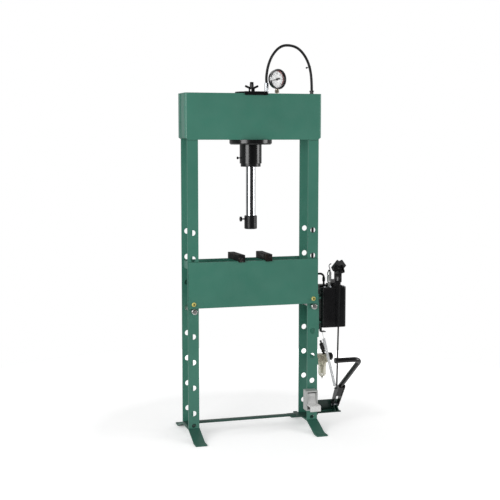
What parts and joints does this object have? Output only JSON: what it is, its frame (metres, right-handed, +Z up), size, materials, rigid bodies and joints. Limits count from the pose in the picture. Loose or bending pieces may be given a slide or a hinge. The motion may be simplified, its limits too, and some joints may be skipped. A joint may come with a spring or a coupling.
{
  "type": "hydraulic workshop press",
  "caption": "Floor-standing green hydraulic workshop press with a sliding cylinder, gauge, height-adjustable bed on pins, and a pedal pump with its oil tank on the right post.",
  "frame": {"origin": "on the floor, half way between the two posts and half way between their front and back bars", "axes": "+X to the right as seen from the front, -Y to the front, +Z up; the ram works along -Z"},
  "size_m": [0.937, 0.6655, 2.1532],
  "materials": {
    "green_paint": "semi-gloss",
    "dark_green_paint": "semi-gloss",
    "black_paint": "semi-gloss",
    "black_oxide": "satin",
    "chrome": "polished",
    "bright_steel": "satin",
    "zinc": "satin",
    "yellow_zinc": "satin",
    "cast_silver": "satin",
    "brass": "satin",
    "raw_steel": "matt, burnt edges",
    "bowl_plastic": "gloss",
    "black_plastic": "matt",
    "rubber": "matt",
    "white_dial": "matt",
    "glass": "clear"
  },
  "bodies": {
    "frame": {"beam_front": "green_paint", "beam_back": "green_paint", "post_left_front": "green_paint", "post_left_back": "green_paint", "post_right_front": "green_paint", "post_right_back": "green_paint", "foot_left": "green_paint", "foot_right": "green_paint", "tie_bar": "dark_green_paint", "side_brackets": "green_paint", "pedal_bracket": "green_paint", "reservoir": "black_paint", "reservoir_cover": "black_paint", "cover_bolts": "zinc", "pump_block": "black_oxide", "release_valve": "cast_silver", "outlet_fitting": "black_paint", "hose_drop": "rubber", "hose_collar": "black_paint", "pivot_pins": "zinc", "return_spring": "zinc", "spring_bracket": "black_paint", "frl_body": "brass", "frl_bowl": "bowl_plastic", "air_coupling": "black_paint", "air_hose": "rubber", "foot_valve_body": "cast_silver"},
    "carriage": {"carriage_plate": "black_paint", "cylinder_tube": "black_paint", "cylinder_gland": "black_oxide", "port_block": "black_oxide", "hose_ferrule": "zinc", "gauge_case": "black_plastic", "gauge_dial": "white_dial", "gauge_glass": "glass", "hose_loop": "rubber"},
    "ram": {"piston": "bright_steel", "ram_rod": "chrome", "ram_head": "black_oxide"},
    "wing_screw": {"wing_screw": "black_oxide"},
    "bleed_screw": {"bleed_screw": "black_oxide"},
    "head_screw": {"head_screw": "black_oxide"},
    "gauge_needle": {"gauge_needle": "black_plastic"},
    "bed": {"bed_front": "green_paint", "bed_back": "green_paint", "bed_spacers": "green_paint", "bed_screws": "yellow_zinc", "press_block_left": "raw_steel", "press_block_right": "raw_steel"},
    "bed_pin_left": {"bed_pin_left": "bright_steel"},
    "bed_pin_right": {"bed_pin_right": "bright_steel"},
    "pedal": {"pedal_lever": "black_paint", "treadle_cap": "black_plastic"},
    "link_rod": {"link_rod": "black_paint"},
    "pump_lever": {"pump_lever": "black_paint"},
    "pump_plunger": {"pump_plunger": "chrome"},
    "release_lever": {"release_lever": "black_oxide"},
    "filler_cap": {"filler_cap": "black_plastic"},
    "frl_knob": {"frl_knob": "black_plastic"},
    "foot_treadle": {"foot_treadle": "cast_silver"}
  },
  "joints": [
    {"name": "carriage_slide", "type": "slide", "parent": "frame", "child": "carriage", "axis": [1, 0, 0], "range_m": [-0.1, 0.1]},
    {"name": "ram_slide", "type": "slide", "parent": "carriage", "child": "ram", "axis": [0, 0, 1], "range_m": [-0.02, 0.225]},
    {"name": "wing_screw_turn", "type": "hinge", "parent": "carriage", "child": "wing_screw", "pos_m": [0.009, 0, 1.9], "axis": [0, 0, 1], "range_deg": [0, 360]},
    {"name": "bleed_screw_turn", "type": "hinge", "parent": "carriage", "child": "bleed_screw", "pos_m": [-0.07, 0, 1.5307], "axis": [-1, 0, 0], "range_deg": [0, 360]},
    {"name": "head_screw_turn", "type": "hinge", "parent": "ram", "child": "head_screw", "pos_m": [-0.05, 0, 1.1947], "axis": [-1, 0, 0], "range_deg": [0, 360]},
    {"name": "gauge_needle_turn", "type": "hinge", "parent": "carriage", "child": "gauge_needle", "pos_m": [0.154, 0, 1.961], "axis": [-0.3746, 0.9272, 0], "range_deg": [0, 252]},
    {"name": "bed_lift", "type": "slide", "parent": "frame", "child": "bed", "axis": [0, 0, 1], "range_m": [0, 0.285]},
    {"name": "bed_pin_left_slide", "type": "slide", "parent": "frame", "child": "bed_pin_left", "axis": [0, -1, 0], "range_m": [0, 0.2]},
    {"name": "bed_pin_right_slide", "type": "slide", "parent": "frame", "child": "bed_pin_right", "axis": [0, -1, 0], "range_m": [0, 0.2]},
    {"name": "pedal_hinge", "type": "hinge", "parent": "frame", "child": "pedal", "pos_m": [0.503, -0.018, 0.116], "axis": [1, 0, 0], "range_deg": [0, 24], "stiffness_Nm_per_rad": 30, "springref_deg": -34.38, "deforming": ["return_spring"]},
    {"name": "link_rod_hinge", "type": "hinge", "parent": "pedal", "child": "link_rod", "pos_m": [0.496, -0.062, 0.2], "axis": [1, 0, 0], "range_deg": [-25.6, 0]},
    {"name": "pump_lever_hinge", "type": "hinge", "parent": "frame", "child": "pump_lever", "pos_m": [0.503, 0.025, 0.822], "axis": [1, 0, 0], "range_deg": [0, 10.8]},
    {"name": "pump_plunger_slide", "type": "slide", "parent": "frame", "child": "pump_plunger", "axis": [0, 0, -1], "range_m": [0, 0.0128]},
    {"name": "release_lever_turn", "type": "hinge", "parent": "frame", "child": "release_lever", "pos_m": [0.458, -0.03, 0.9], "axis": [0, 0, 1], "range_deg": [0, 90]},
    {"name": "filler_cap_turn", "type": "hinge", "parent": "frame", "child": "filler_cap", "pos_m": [0.472, 0.03, 0.81], "axis": [0, 0, 1], "range_deg": [0, 360]},
    {"name": "frl_knob_turn", "type": "hinge", "parent": "frame", "child": "frl_knob", "pos_m": [0.48, 0, 0.395], "axis": [1, 0, 0], "range_deg": [-180, 180]},
    {"name": "foot_treadle_hinge", "type": "hinge", "parent": "frame", "child": "foot_treadle", "pos_m": [0.3235, -0.104, 0.18], "axis": [1, 0, 0], "range_deg": [0, 8], "stiffness_Nm_per_rad": 12, "springref_deg": -6.88}
  ],
  "couplings": [
    {"joint": "link_rod_hinge", "follows": "pedal_hinge", "ratio": -1.065},
    {"joint": "pump_lever_hinge", "follows": "pedal_hinge", "ratio": 0.445},
    {"joint": "pump_plunger_slide", "follows": "pedal_hinge", "m_per_rad": 0.0302}
  ]
}
